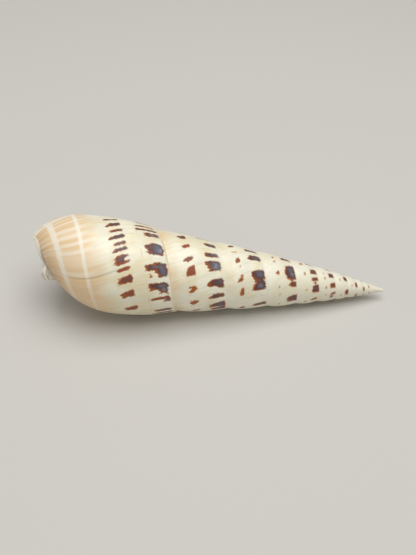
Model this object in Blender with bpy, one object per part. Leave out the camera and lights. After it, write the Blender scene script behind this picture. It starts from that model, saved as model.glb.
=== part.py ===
"""A spotted auger shell: one tall spiral shell with flat-sided whorls, hollow where its mouth opens.

The shell is worked out in its own spiral frame first. A point there has a turn, the angle round the axis
that keeps counting from whorl to whorl, a reach, its distance from the tip along the axis, and a radius.
Turn 0 is the middle of the side that shows the whole back of the shell. The finished mesh is then laid
on the ground the way an empty shell comes to rest.
"""

import math

import bmesh
import bpy
from mathutils import Matrix, Vector

TURN = 2.0 * math.pi

# Driving dimensions, in metres
SUTURE_REACH = 0.0970  # from the tip to the last suture, in the middle of the back
ANTERIOR_REACH = 0.1463  # from the tip to the end that the base closes on, in the middle of the back
SPIRE_FLATTENING = 0.1519  # the reach over which the spire's sides turn half as steep
TIP_REACH = 0.0012  # the worn, blunt tip starts here
SUTURE_STEP = 0.00137  # how proud the last whorl's upper edge stands near the mouth
WALL = 0.0021
LIP_EDGE = 0.0010
CALLUS = 0.0003  # the glaze laid over the whorl before, inside the mouth
PILLAR_RADIUS = 0.0031  # the inner side of the columella at its end
COLUMELLA_RADIUS = 0.0054  # the outer side of the columella under the mouth
GROOVE_RADIUS = 0.0068  # the groove between the base and the ridge that follows
FASCIOLE_RADIUS = 0.0074  # the ridge round the end of the columella
NUB_REACH = 0.1456  # the end of the columella
NUB_DIMPLE = 0.0006
NOTCH_RADIUS = 0.0050  # the free edge where the canal's notch begins
LIP_TIP_RADIUS = 0.0082  # the free edge at the front tip of the lip
EDGE_BAND = 0.0021  # the strip between the free edge and the line that the groove becomes

# Ratios that the growth keeps
SPIRE_SLOPE = 0.2705
WHORL_RATIO = 0.7624  # each suture's reach over the next one's
BASE_RATIO = 0.8214  # the same for the front end
PEAK_SHARE = 0.83  # where a whorl is widest, between its two sutures
SPIRE_SWELL, BODY_SWELL = 1.7, 2.9
BASE_ROUNDNESS = 1.96
BODY_WIDENING = 0.022  # how much wider the last whorl is than the spire's line
STEP_LIMIT, STEP_GROWTH = 1.2, 1.5  # how fast the last whorl's upper edge comes to stand proud
CORNER_SHARE = 0.16  # how far below the suture the hollow starts
JOINT_SHARE = 1.35  # the columella's radius deep inside, over the pillar's
RIDGE_CURVE = ((0.14, 0.84), (0.45, 0.97), (0.75, 1.0), (0.97, 0.78))  # share of the way and of the crest

# Turns at which the growth changes
BODY_START = math.radians(-270)  # from here the last whorl takes its own form
LIP_TURN = math.radians(135)  # where the lip meets the whorl above
LIP_LEAN = math.radians(70)  # how far the lip's front tip stays behind
LEAN_SPAN = math.radians(180)
NOTCH_TURN = math.radians(-10)
OPEN_SPAN = math.radians(40)  # the turn over which closed sides become free edges
RIDGE_START, RIDGE_SPAN = math.radians(-225), math.radians(100)
LIP_THINNING = math.radians(30)
CAVITY_TURNS = 1.5

# The mesh
COLUMNS = 30  # a turn
BAND_SHARES = (0.0, 0.14, 0.42, 0.72, 0.965, 1.0)
BAND_ROWS = len(BAND_SHARES) - 1
BASE_ROWS = 8
RIDGE_ROWS = 5
ROWS = BAND_ROWS + BASE_ROWS + RIDGE_ROWS
WHORLS = 13

FIRST_TURN = LIP_TURN - TURN
NOTCH_COLUMN = COLUMNS + round((NOTCH_TURN - LIP_TURN) / TURN * COLUMNS)
DEEP_COLUMN = COLUMNS - round(CAVITY_TURNS * COLUMNS)
START_COLUMN = COLUMNS - WHORLS * COLUMNS

# How the shell lies: the side that faces down, and the lean of the axis
DOWN_TURN = math.radians(225)
AXIS_DIP = math.radians(7.5)
REST_DEPTH = 0.00025  # the lowest faces are this much flatter than round, so the shell can lie still


def smooth(value):
    value = min(max(value, 0.0), 1.0)
    return value * value * (3.0 - 2.0 * value)


def mix(first, second, share):
    return first + (second - first) * share


def suture_reach(turn):
    return SUTURE_REACH * WHORL_RATIO ** (-turn / TURN)


def anterior_reach(turn):
    return ANTERIOR_REACH * BASE_RATIO ** (-turn / TURN)


def spire_radius(reach):
    return SPIRE_SLOPE * reach / (1.0 + reach / SPIRE_FLATTENING)


def body_share(turn):
    """How far the last whorl has taken its own form."""
    return smooth((turn - BODY_START) / TURN)


def suture_step(turn):
    grown = min(max((turn - BODY_START) / TURN, 0.0), STEP_LIMIT)
    return SUTURE_STEP * grown**STEP_GROWTH


def peak(turn):
    """The reach and radius of the widest line of the whorl at this turn."""
    upper, lower = suture_reach(turn), suture_reach(turn + TURN)
    reach = mix(upper, lower, PEAK_SHARE)
    past = (lower - reach) / (anterior_reach(turn) - reach)
    fall = (1.0 - past**BASE_ROUNDNESS) ** (1.0 / BASE_ROUNDNESS)
    widening = 1.0 + BODY_WIDENING * body_share(turn)
    return reach, spire_radius(lower) / fall * widening


def band_point(turn, share):
    """The whorl's side, from its upper suture at share 0 to where the next whorl joins at 1."""
    reach = mix(suture_reach(turn), suture_reach(turn + TURN), share)
    top_reach, top_radius = peak(turn)
    if reach < top_reach:
        start = spire_radius(suture_reach(turn)) + suture_step(turn)
        swell = mix(SPIRE_SWELL, BODY_SWELL, body_share(turn))
        left = 1.0 - share / PEAK_SHARE
        return reach, top_radius - (top_radius - start) * left**swell
    past = (reach - top_reach) / (anterior_reach(turn) - top_reach)
    return reach, top_radius * (1.0 - past**BASE_ROUNDNESS) ** (1.0 / BASE_ROUNDNESS)


def base_point(turn, radius):
    """The reach at which the base, closing towards the axis, has this radius."""
    top_reach, top_radius = peak(turn)
    past = (1.0 - (radius / top_radius) ** BASE_ROUNDNESS) ** (1.0 / BASE_ROUNDNESS)
    return mix(top_reach, anterior_reach(turn), past)


def edge_radius(turn):
    """The free edge's radius, from the notch to the lip's front tip."""
    share = smooth((turn - NOTCH_TURN) / (LIP_TURN - LIP_LEAN - NOTCH_TURN))
    return mix(NOTCH_RADIUS, LIP_TIP_RADIUS, share)


def free_share(turn):
    """How far the ridge round the columella has given way to the free edge."""
    return smooth((turn + OPEN_SPAN) / OPEN_SPAN)


def ridge_share(turn):
    return smooth((turn - RIDGE_START) / RIDGE_SPAN)


def groove_radius(turn):
    """Where the base ends and the ridge round the columella starts."""
    closed = mix(COLUMELLA_RADIUS, GROOVE_RADIUS, ridge_share(turn))
    return mix(closed, edge_radius(turn) + EDGE_BAND, free_share(turn))


def ridge_point(turn, share):
    """From the groove to the end of the columella, or to the free edge past the notch."""
    groove = groove_radius(turn)
    start = base_point(turn, groove)
    grown = ridge_share(turn)
    crest = mix(COLUMELLA_RADIUS, FASCIOLE_RADIUS, grown)
    curve = [(mix(start, NUB_REACH, way), crest * mix(1.0, height, grown)) for way, height in RIDGE_CURVE]
    ridge = spline([(start, groove), *curve, (NUB_REACH, PILLAR_RADIUS)], share)
    free = mix(groove, edge_radius(turn), share)
    plain = (base_point(turn, free), free)
    return tuple(mix(a, b, free_share(turn)) for a, b in zip(ridge, plain))


def spline(points, share):
    """A point on a smooth curve through the given points."""
    way = share * (len(points) - 1)
    index = min(int(way), len(points) - 2)
    t = way - index
    around = [points[min(max(index + k, 0), len(points) - 1)] for k in (-1, 0, 1, 2)]
    return tuple(
        0.5 * (2 * b + (c - a) * t + (2 * a - 5 * b + 4 * c - d) * t * t + (3 * b - a - 3 * c + d) * t**3)
        for a, b, c, d in zip(*around)
    )


def outer_point(turn, row):
    """Reach and radius of the outside at a turn, by row number."""
    if row <= BAND_ROWS:
        return band_point(turn, BAND_SHARES[row])
    last = BAND_ROWS + BASE_ROWS
    if row <= last:
        start = band_point(turn, 1.0)[1] / peak(turn)[1]
        end = groove_radius(turn) / peak(turn)[1]
        angle = mix(math.acos(min(start, 1.0)), math.acos(end), (row - BAND_ROWS) / BASE_ROWS)
        radius = math.cos(angle) * peak(turn)[1]
        return base_point(turn, radius), radius
    return ridge_point(turn, (row - last) / RIDGE_ROWS)


def wall(turn):
    """The shell gets thinner up the spire, in step with its whorls."""
    return WALL * min(suture_reach(turn) / SUTURE_REACH, 1.0)


def pillar_radius(turn):
    return PILLAR_RADIUS * min(suture_reach(turn) / SUTURE_REACH, 1.0)


def notch_share(turn):
    """How far the hollow has left the columella for the notch."""
    return smooth((turn - NOTCH_TURN + OPEN_SPAN) / OPEN_SPAN)


def inner_point(turn, row, thickness):
    """The inside of the outer wall, from under the suture to the front end of the hollow."""
    top_reach, top_radius = peak(turn)
    depth = anterior_reach(turn) - top_reach
    if row <= BAND_ROWS:
        share = mix(CORNER_SHARE, 1.0, BAND_SHARES[row])
        reach, radius = band_point(turn, share)
        return reach, radius - thickness
    start = math.acos(min(band_point(turn, 1.0)[1] / top_radius, 1.0))
    closed_end = pillar_radius(turn) + thickness
    end = math.acos(mix(closed_end, edge_radius(turn), notch_share(turn)) / top_radius)
    share = (row - BAND_ROWS) / (BASE_ROWS + RIDGE_ROWS)
    radius = math.cos(mix(start, end, share)) * top_radius
    reach = base_point(turn, radius)
    across = (radius / top_radius) ** (BASE_ROUNDNESS - 1.0) / top_radius
    along = ((reach - top_reach) / depth) ** (BASE_ROUNDNESS - 1.0) / depth
    length = math.hypot(across, along)
    return reach - thickness * along / length, radius - thickness * across / length


def pillar_end(turn):
    """Where the columella ends inside the hollow, seen from the whorl that goes round it."""
    closed = base_point(turn, pillar_radius(turn) + wall(turn)) - wall(turn)
    return mix(closed, NUB_REACH - NUB_DIMPLE, notch_share(turn)), pillar_radius(turn)


def parietal_point(turn, row):
    """The whorl before, seen from inside the hollow, and the columella that it runs into."""
    inside = smooth((FIRST_TURN - turn) / OPEN_SPAN)
    scale = min(suture_reach(turn + TURN) / SUTURE_REACH, 1.0)
    joint_radius = mix(COLUMELLA_RADIUS, PILLAR_RADIUS * JOINT_SHARE, inside) * scale
    joint = base_point(turn, joint_radius)
    if row <= BAND_ROWS + BASE_ROWS:
        first = mix(1.0, 1.0 + CORNER_SHARE, inside)
        start = math.acos(min(band_point(turn, first)[1] / peak(turn)[1], 1.0))
        end = math.acos(joint_radius / peak(turn)[1])
        radius = math.cos(mix(start, end, (row - BAND_ROWS) / BASE_ROWS)) * peak(turn)[1]
        return base_point(turn, radius), radius + CALLUS * inside
    end_reach, end_radius = pillar_end(turn + TURN)
    share = (row - BAND_ROWS - BASE_ROWS) / RIDGE_ROWS
    return mix(joint, end_reach, share), mix(joint_radius + CALLUS * inside, end_radius, share)


def place(turn, reach, radius):
    return Vector((-reach, -radius * math.cos(turn), radius * math.sin(turn)))


def column_turn(column, row=0):
    """The turn of a mesh column; near the mouth the columns lean as the growth lines do."""
    turn = LIP_TURN + (column - COLUMNS) * TURN / COLUMNS
    near = smooth((turn - LIP_TURN + LEAN_SPAN) / LEAN_SPAN)
    return turn - LIP_LEAN * row / ROWS * near


def lip_thickness(column):
    inside = smooth((COLUMNS - column) * TURN / COLUMNS / LIP_THINNING)
    return mix(LIP_EDGE, wall(column_turn(column)), inside)


class Shell:
    """Builds the shell's one closed mesh, column by column along the spiral."""

    def __init__(self):
        self.mesh = bmesh.new()
        self.points = {}

    def vertex(self, layer, column, row):
        if layer == "outer" and row == BAND_ROWS and column <= 0:
            column, row = column + COLUMNS, 0
        if layer == "parietal" and column == 0:
            layer = "outer"
            if row == BAND_ROWS:
                column, row = COLUMNS, 0
        key = (layer, column, row)
        if key not in self.points:
            turn = column_turn(column, row)
            if layer == "outer":
                reach, radius = outer_point(turn, row)
            elif layer == "inner":
                reach, radius = inner_point(turn, row, lip_thickness(column))
            else:
                turn = column_turn(column)
                reach, radius = parietal_point(turn, row)
            self.points[key] = self.mesh.verts.new(place(turn, reach, radius))
        return self.points[key]

    def face(self, *verts):
        kept = [v for k, v in enumerate(verts) if v not in verts[:k]]
        if len(kept) > 2:
            self.mesh.faces.new(kept)

    def sheet(self, layer, columns, rows):
        for column in columns:
            for row in rows:
                self.face(
                    self.vertex(layer, column, row),
                    self.vertex(layer, column + 1, row),
                    self.vertex(layer, column + 1, row + 1),
                    self.vertex(layer, column, row + 1),
                )

    def fan(self, ring, centre):
        middle = self.mesh.verts.new(centre)
        for first, second in zip(ring, ring[1:] + ring[:1]):
            self.face(first, second, middle)


def build_shell():
    """The outside from the tip to the front end, the hollow, and the edges that join the two."""
    shell = Shell()
    shell.sheet("outer", range(START_COLUMN, COLUMNS), range(BAND_ROWS))
    shell.sheet("outer", range(COLUMNS), range(BAND_ROWS, ROWS))
    shell.sheet("inner", range(DEEP_COLUMN, COLUMNS), range(ROWS))
    shell.sheet("parietal", range(DEEP_COLUMN - COLUMNS, 0), range(BAND_ROWS, ROWS))
    close_tip(shell)
    close_lip(shell)
    close_front(shell)
    close_hollow(shell)
    bmesh.ops.recalc_face_normals(shell.mesh, faces=shell.mesh.faces[:])
    return shell.mesh


def close_tip(shell):
    """The worn tip: the first whorl's edge, closed over."""
    ring = [shell.vertex("outer", START_COLUMN + k, 0) for k in range(COLUMNS)]
    ring += [shell.vertex("outer", START_COLUMN, row) for row in range(BAND_ROWS, 0, -1)]
    shell.fan(ring, place(0.0, TIP_REACH, 0.0))


def close_lip(shell):
    """The lip's edge, then the free edge of the canal back to its notch."""
    edge = [(COLUMNS, row) for row in range(ROWS + 1)]
    edge += [(column, ROWS) for column in range(COLUMNS - 1, NOTCH_COLUMN - 1, -1)]
    for first, second in zip(edge, edge[1:]):
        shell.face(
            shell.vertex("outer", *first),
            shell.vertex("outer", *second),
            shell.vertex("inner", *second),
            shell.vertex("inner", *first),
        )


def close_front(shell):
    """The end of the columella, and the corner where it meets the notch."""
    back = NOTCH_COLUMN - COLUMNS
    ring = [shell.vertex("outer", column, ROWS) for column in range(NOTCH_COLUMN + 1)]
    ring += [shell.vertex("parietal", column, ROWS) for column in range(back, 0)]
    shell.fan(ring, place(0.0, NUB_REACH - NUB_DIMPLE, 0.0))
    shell.face(ring[NOTCH_COLUMN], ring[NOTCH_COLUMN + 1], shell.vertex("inner", NOTCH_COLUMN, ROWS))


def close_hollow(shell):
    """The seams where the outer wall meets the whorl before and the columella, and the deep end."""
    for column in range(DEEP_COLUMN, COLUMNS):
        seams = ((0, BAND_ROWS),) if column >= NOTCH_COLUMN else ((0, BAND_ROWS), (ROWS, ROWS))
        for inner_row, parietal_row in seams:
            shell.face(
                shell.vertex("inner", column, inner_row),
                shell.vertex("inner", column + 1, inner_row),
                shell.vertex("parietal", column + 1 - COLUMNS, parietal_row),
                shell.vertex("parietal", column - COLUMNS, parietal_row),
            )
    end = [shell.vertex("inner", DEEP_COLUMN, row) for row in range(ROWS + 1)]
    back = DEEP_COLUMN - COLUMNS
    end += [shell.vertex("parietal", back, row) for row in range(ROWS, BAND_ROWS - 1, -1)]
    shell.face(*end)


def lay_down(mesh):
    """Lays the shell on its side on the ground, with its long axis along X and its tip to +X."""
    roll = Matrix.Rotation(DOWN_TURN + TURN / 4, 4, "X")
    dip = Matrix.Rotation(AXIS_DIP, 4, "Y")
    mesh.transform(dip @ roll)
    lowest = [min(v.co[k] for v in mesh.verts) for k in range(3)]
    highest = [max(v.co[k] for v in mesh.verts) for k in range(3)]
    middle = [(a + b) / 2 for a, b in zip(lowest, highest)]
    mesh.transform(Matrix.Translation((-middle[0], -middle[1], -lowest[2])))
    for vertex in mesh.verts:
        if vertex.co.z < REST_DEPTH:
            vertex.co.z = 0.0


def shell_material():
    """Glossy cream shell; the blotches are colour only, so the solid leaves them out."""
    material = bpy.data.materials.new("cream_shell")
    material.use_nodes = True
    shader = material.node_tree.nodes["Principled BSDF"]
    shader.inputs["Base Color"].default_value = (0.84, 0.72, 0.50, 1.0)
    shader.inputs["Roughness"].default_value = 0.3
    shader.inputs["Metallic"].default_value = 0.0
    return material


def main():
    for old in list(bpy.data.objects):
        bpy.data.objects.remove(old, do_unlink=True)
    mesh = build_shell()
    lay_down(mesh)
    data = bpy.data.meshes.new("shell")
    mesh.to_mesh(data)
    mesh.free()
    data.materials.append(shell_material())
    data.shade_smooth()
    data.set_sharp_from_angle(angle=math.radians(40))
    shell = bpy.data.objects.new("shell", data)
    bpy.context.scene.collection.objects.link(shell)


main()
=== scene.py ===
import math
import random
from collections import namedtuple

import bmesh
import bpy
import numpy as np
from mathutils import Matrix, Vector, noise


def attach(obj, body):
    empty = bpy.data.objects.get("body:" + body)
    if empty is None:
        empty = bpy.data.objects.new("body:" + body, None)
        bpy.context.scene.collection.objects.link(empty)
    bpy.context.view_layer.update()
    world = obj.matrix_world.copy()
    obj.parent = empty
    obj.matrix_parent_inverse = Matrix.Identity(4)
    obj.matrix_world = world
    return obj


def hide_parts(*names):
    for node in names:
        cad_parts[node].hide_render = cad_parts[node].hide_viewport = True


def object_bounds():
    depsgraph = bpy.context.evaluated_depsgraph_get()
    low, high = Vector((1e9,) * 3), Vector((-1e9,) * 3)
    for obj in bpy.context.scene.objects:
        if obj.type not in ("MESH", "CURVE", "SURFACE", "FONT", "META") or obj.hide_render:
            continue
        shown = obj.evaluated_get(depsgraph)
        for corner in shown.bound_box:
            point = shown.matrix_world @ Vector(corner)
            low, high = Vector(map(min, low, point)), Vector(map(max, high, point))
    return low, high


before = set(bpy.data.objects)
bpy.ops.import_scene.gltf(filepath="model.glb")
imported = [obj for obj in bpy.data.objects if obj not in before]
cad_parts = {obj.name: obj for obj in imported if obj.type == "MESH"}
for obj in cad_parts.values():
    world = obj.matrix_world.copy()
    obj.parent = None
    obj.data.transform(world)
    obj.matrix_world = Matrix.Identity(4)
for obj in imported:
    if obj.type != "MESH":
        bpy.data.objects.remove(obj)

CAD_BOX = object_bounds()
TURN = 2.0 * math.pi

# The shell's own sizes, in metres, as in the CAD model. A reach is measured along the axis, from the point
# that the spire narrows to, and a radius from the axis.
SUTURE_REACH = 0.0970
ANTERIOR_REACH = 0.1463
SPIRE_FLATTENING = 0.1519
TIP_REACH = 0.0012
SUTURE_STEP = 0.00137
WALL = 0.0021
LIP_EDGE = 0.0010
CALLUS = 0.0003
PILLAR_RADIUS = 0.0031
COLUMELLA_RADIUS = 0.0054
GROOVE_RADIUS = 0.0068
FASCIOLE_RADIUS = 0.0074
NUB_REACH = 0.1456
NUB_DIMPLE = 0.0006
NOTCH_RADIUS = 0.0050
LIP_TIP_RADIUS = 0.0082
EDGE_BAND = 0.0021

# Ratios that the growth keeps
SPIRE_SLOPE = 0.2705
WHORL_RATIO = 0.7624
BASE_RATIO = 0.8214
PEAK_SHARE = 0.83
SPIRE_SWELL, BODY_SWELL = 1.7, 2.9
BASE_ROUNDNESS = 1.96
BODY_WIDENING = 0.022
STEP_LIMIT, STEP_GROWTH = 1.2, 1.5
CORNER_SHARE = 0.16
JOINT_SHARE = 1.35
# The ridge: shares of the way from the groove to the columella's end, and of the crest's radius
RIDGE_CURVE = ((0.14, 0.84), (0.45, 0.97), (0.75, 1.0), (0.97, 0.78))

# Turns at which the growth changes
BODY_START = math.radians(-270)
LIP_TURN = math.radians(135)
LIP_LEAN = math.radians(70)
LEAN_SPAN = math.radians(180)
NOTCH_TURN = math.radians(-10)
OPEN_SPAN = math.radians(40)
RIDGE_START, RIDGE_SPAN = math.radians(-225), math.radians(100)
LIP_THINNING = math.radians(30)
CAVITY_TURNS = 1.5

# The fine mesh: its columns follow the growth, its rows run from suture to suture and on to the front end.
# The CAD model's rows are those that the lean near the mouth is counted in.
COLUMNS = 144
BAND_ROWS = 26
BASE_ROWS = 44
RIDGE_ROWS = 18
RIDGE_START_ROW = BAND_ROWS + BASE_ROWS
ROWS = RIDGE_START_ROW + RIDGE_ROWS
WHORLS = 13
CAD_ROWS = (5, 8, 5)
RIM_STEPS = 4
RIM_BULGE = 0.9
FAN_RINGS = 5
SHARP_ANGLE = math.radians(38)  # edges that bend more than this stay sharp
FIRST_TURN = LIP_TURN - TURN
NOTCH_COLUMN = COLUMNS + round((NOTCH_TURN - LIP_TURN) / TURN * COLUMNS)
DEEP_COLUMN = COLUMNS - round(CAVITY_TURNS * COLUMNS)
START_COLUMN = COLUMNS - WHORLS * COLUMNS

# Where the white edge lies, and the painted shade along the groove
RIDGE_FADE = 0.12  # of the ridge's rows, over which the colour turns white
FREE_BAND = 0.1  # of the free edge's rows that keep the body's colour
LIP_BAND = 2.2, 5.5  # columns of the lip's margin that turn white, at the suture and at the front
GROOVE_SHADE = 0.3  # of the ridge's rows, over which the groove's painted shade fades
GROOVE_END = math.radians(45)

# How the shell lies, as in the CAD model
DOWN_TURN = math.radians(225)
AXIS_DIP = math.radians(7.5)
SLIMMING = 0.9945  # the CAD model's facets lie inside the true curve by up to this share
REST_GAP = 0.00002  # the lowest points stay this much above the ground

# Growth lines: from the suture to the front they fall back by this turn, most of it in between
GROWTH_SWEEP = math.radians(32)
SWEEP_START, SWEEP_SPAN = 0.03, 1.27

# Surface relief: each layer's height in metres, its waves round a turn and along a whorl, and where in the
# noise it is taken
RELIEF_LAYERS = (
    (0.00009, 26.0, 0.6, 3.0),  # growth lines
    (0.000045, 75.0, 0.8, 9.0),  # finer growth lines
    (0.00012, 7.0, 2.2, 17.0),  # slight dents
)


def smooth(value):
    value = min(max(value, 0.0), 1.0)
    return value * value * (3.0 - 2.0 * value)


def mix(first, second, share):
    return first + (second - first) * share


def suture_reach(turn):
    return SUTURE_REACH * WHORL_RATIO ** (-turn / TURN)


def anterior_reach(turn):
    return ANTERIOR_REACH * BASE_RATIO ** (-turn / TURN)


def spire_radius(reach):
    return SPIRE_SLOPE * reach / (1.0 + reach / SPIRE_FLATTENING)


def body_share(turn):
    return smooth((turn - BODY_START) / TURN)


def suture_step(turn):
    grown = min(max((turn - BODY_START) / TURN, 0.0), STEP_LIMIT)
    return SUTURE_STEP * grown**STEP_GROWTH


def peak(turn):
    """The reach and radius of the widest line of the whorl at this turn."""
    upper, lower = suture_reach(turn), suture_reach(turn + TURN)
    reach = mix(upper, lower, PEAK_SHARE)
    past = (lower - reach) / (anterior_reach(turn) - reach)
    fall = (1.0 - past**BASE_ROUNDNESS) ** (1.0 / BASE_ROUNDNESS)
    widening = 1.0 + BODY_WIDENING * body_share(turn)
    return reach, spire_radius(lower) / fall * widening


def band_point(turn, share):
    """The whorl's side, from its upper suture at share 0 to where the next whorl joins at 1."""
    reach = mix(suture_reach(turn), suture_reach(turn + TURN), share)
    top_reach, top_radius = peak(turn)
    if reach < top_reach:
        start = spire_radius(suture_reach(turn)) + suture_step(turn)
        swell = mix(SPIRE_SWELL, BODY_SWELL, body_share(turn))
        left = 1.0 - share / PEAK_SHARE
        return reach, top_radius - (top_radius - start) * left**swell
    past = (reach - top_reach) / (anterior_reach(turn) - top_reach)
    return reach, top_radius * (1.0 - past**BASE_ROUNDNESS) ** (1.0 / BASE_ROUNDNESS)


def base_point(turn, radius):
    """The reach at which the base, closing towards the axis, has this radius."""
    top_reach, top_radius = peak(turn)
    past = (1.0 - (radius / top_radius) ** BASE_ROUNDNESS) ** (1.0 / BASE_ROUNDNESS)
    return mix(top_reach, anterior_reach(turn), past)


def edge_radius(turn):
    share = smooth((turn - NOTCH_TURN) / (LIP_TURN - LIP_LEAN - NOTCH_TURN))
    return mix(NOTCH_RADIUS, LIP_TIP_RADIUS, share)


def free_share(turn):
    return smooth((turn + OPEN_SPAN) / OPEN_SPAN)


def ridge_share(turn):
    return smooth((turn - RIDGE_START) / RIDGE_SPAN)


def groove_radius(turn):
    closed = mix(COLUMELLA_RADIUS, GROOVE_RADIUS, ridge_share(turn))
    return mix(closed, edge_radius(turn) + EDGE_BAND, free_share(turn))


def ridge_point(turn, share):
    """From the groove to the end of the columella, or to the free edge past the notch."""
    groove = groove_radius(turn)
    start = base_point(turn, groove)
    grown = ridge_share(turn)
    crest = mix(COLUMELLA_RADIUS, FASCIOLE_RADIUS, grown)
    curve = [
        (mix(start, NUB_REACH, way), crest * mix(1.0, height, grown)) for way, height in RIDGE_CURVE
    ]
    ridge = spline([(start, groove), *curve, (NUB_REACH, PILLAR_RADIUS)], share)
    free = mix(groove, edge_radius(turn), share)
    plain = (base_point(turn, free), free)
    return tuple(mix(a, b, free_share(turn)) for a, b in zip(ridge, plain))


def spline(points, share):
    """A point on a smooth curve through the given points."""
    way = share * (len(points) - 1)
    index = min(int(way), len(points) - 2)
    t = way - index
    around = [points[min(max(index + k, 0), len(points) - 1)] for k in (-1, 0, 1, 2)]
    return tuple(
        0.5 * (2 * b + (c - a) * t + (2 * a - 5 * b + 4 * c - d) * t * t + (3 * b - a - 3 * c + d) * t**3)
        for a, b, c, d in zip(*around)
    )


def outer_point(turn, row):
    """Reach and radius of the outside at a turn, by row number."""
    if row <= BAND_ROWS:
        return band_point(turn, row / BAND_ROWS)
    if row <= RIDGE_START_ROW:
        start = band_point(turn, 1.0)[1] / peak(turn)[1]
        end = groove_radius(turn) / peak(turn)[1]
        angle = mix(math.acos(min(start, 1.0)), math.acos(end), (row - BAND_ROWS) / BASE_ROWS)
        radius = math.cos(angle) * peak(turn)[1]
        return base_point(turn, radius), radius
    return ridge_point(turn, (row - RIDGE_START_ROW) / RIDGE_ROWS)


def growth_scale(turn):
    """How large the whorl at this turn is, as a share of the last whorl."""
    return min(suture_reach(turn) / SUTURE_REACH, 1.0)


def wall(turn):
    return WALL * growth_scale(turn)


def pillar_radius(turn):
    return PILLAR_RADIUS * growth_scale(turn)


def notch_share(turn):
    return smooth((turn - NOTCH_TURN + OPEN_SPAN) / OPEN_SPAN)


def inner_point(turn, row, thickness):
    """The inside of the outer wall, from under the suture to the front end of the hollow."""
    top_reach, top_radius = peak(turn)
    depth = anterior_reach(turn) - top_reach
    if row <= BAND_ROWS:
        share = mix(CORNER_SHARE, 1.0, row / BAND_ROWS)
        reach, radius = band_point(turn, share)
        return reach, radius - thickness
    start = math.acos(min(band_point(turn, 1.0)[1] / top_radius, 1.0))
    closed_end = pillar_radius(turn) + thickness
    end = math.acos(mix(closed_end, edge_radius(turn), notch_share(turn)) / top_radius)
    share = (row - BAND_ROWS) / (BASE_ROWS + RIDGE_ROWS)
    radius = math.cos(mix(start, end, share)) * top_radius
    reach = base_point(turn, radius)
    across = (radius / top_radius) ** (BASE_ROUNDNESS - 1.0) / top_radius
    along = ((reach - top_reach) / depth) ** (BASE_ROUNDNESS - 1.0) / depth
    length = math.hypot(across, along)
    return reach - thickness * along / length, radius - thickness * across / length


def pillar_end(turn):
    closed = base_point(turn, pillar_radius(turn) + wall(turn)) - wall(turn)
    return mix(closed, NUB_REACH - NUB_DIMPLE, notch_share(turn)), pillar_radius(turn)


def parietal_point(turn, row):
    """The whorl before, seen from inside the hollow, and the columella that it runs into."""
    inside = smooth((FIRST_TURN - turn) / OPEN_SPAN)
    scale = growth_scale(turn + TURN)
    joint_radius = mix(COLUMELLA_RADIUS, PILLAR_RADIUS * JOINT_SHARE, inside) * scale
    joint = base_point(turn, joint_radius)
    if row <= RIDGE_START_ROW:
        first = mix(1.0, 1.0 + CORNER_SHARE, inside)
        start = math.acos(min(band_point(turn, first)[1] / peak(turn)[1], 1.0))
        end = math.acos(joint_radius / peak(turn)[1])
        radius = math.cos(mix(start, end, (row - BAND_ROWS) / BASE_ROWS)) * peak(turn)[1]
        return base_point(turn, radius), radius + CALLUS * inside
    end_reach, end_radius = pillar_end(turn + TURN)
    share = (row - RIDGE_START_ROW) / RIDGE_ROWS
    return mix(joint, end_reach, share), mix(joint_radius + CALLUS * inside, end_radius, share)


def place(turn, reach, radius):
    return Vector((-reach, -radius * math.cos(turn), radius * math.sin(turn)))


def lean_of(row):
    """A row's share of the lean near the mouth: the CAD model's rows are not spaced as these are."""
    counts = (BAND_ROWS, BASE_ROWS, RIDGE_ROWS)
    done = 0.0
    for fine, coarse in zip(counts, CAD_ROWS):
        done += coarse * min(max(row / fine, 0.0), 1.0)
        row -= fine
    return done / sum(CAD_ROWS)


def column_turn(column, row=0):
    """The turn of a mesh column; near the mouth the columns lean as the growth lines do."""
    turn = LIP_TURN + (column - COLUMNS) * TURN / COLUMNS
    near = smooth((turn - LIP_TURN + LEAN_SPAN) / LEAN_SPAN)
    return turn - LIP_LEAN * lean_of(row) * near


def lip_thickness(column):
    inside = smooth((COLUMNS - column) * TURN / COLUMNS / LIP_THINNING)
    return mix(LIP_EDGE, wall(column_turn(column)), inside)


def share_at(turn, reach):
    """How far along the whorl a reach is: 0 at its upper suture, 1 where the next whorl joins."""
    upper, lower = suture_reach(turn), suture_reach(turn + TURN)
    return (reach - upper) / (lower - upper)


def growth_at(turn, share):
    """The turn at which the growth line through this point leaves the suture."""
    return turn + GROWTH_SWEEP * smooth((share - SWEEP_START) / SWEEP_SPAN)


def relief(turn, share):
    """Growth lines and slight dents: they stand in for years of uneven growth."""
    growth = growth_at(turn, share) / TURN
    rise = sum(
        height * noise.noise(Vector((growth * around, share * along, depth)))
        for height, around, along, depth in RELIEF_LAYERS
    )
    return rise * growth_scale(turn)


# Where a face corner is on the spiral, and how far, from 0 to 1, it belongs to the white edge, the painted
# shade of the groove and the hollow's inside, and is along the ridge
Spot = namedtuple("Spot", "turn share edge groove inside ridge", defaults=(0.5, 0.0, 0.0, 0.0, 0.0))
INSIDE_SPOT = Spot(0.0, inside=1.0)
EDGE_SPOT = Spot(LIP_TURN, edge=1.0, ridge=1.0)


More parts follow.
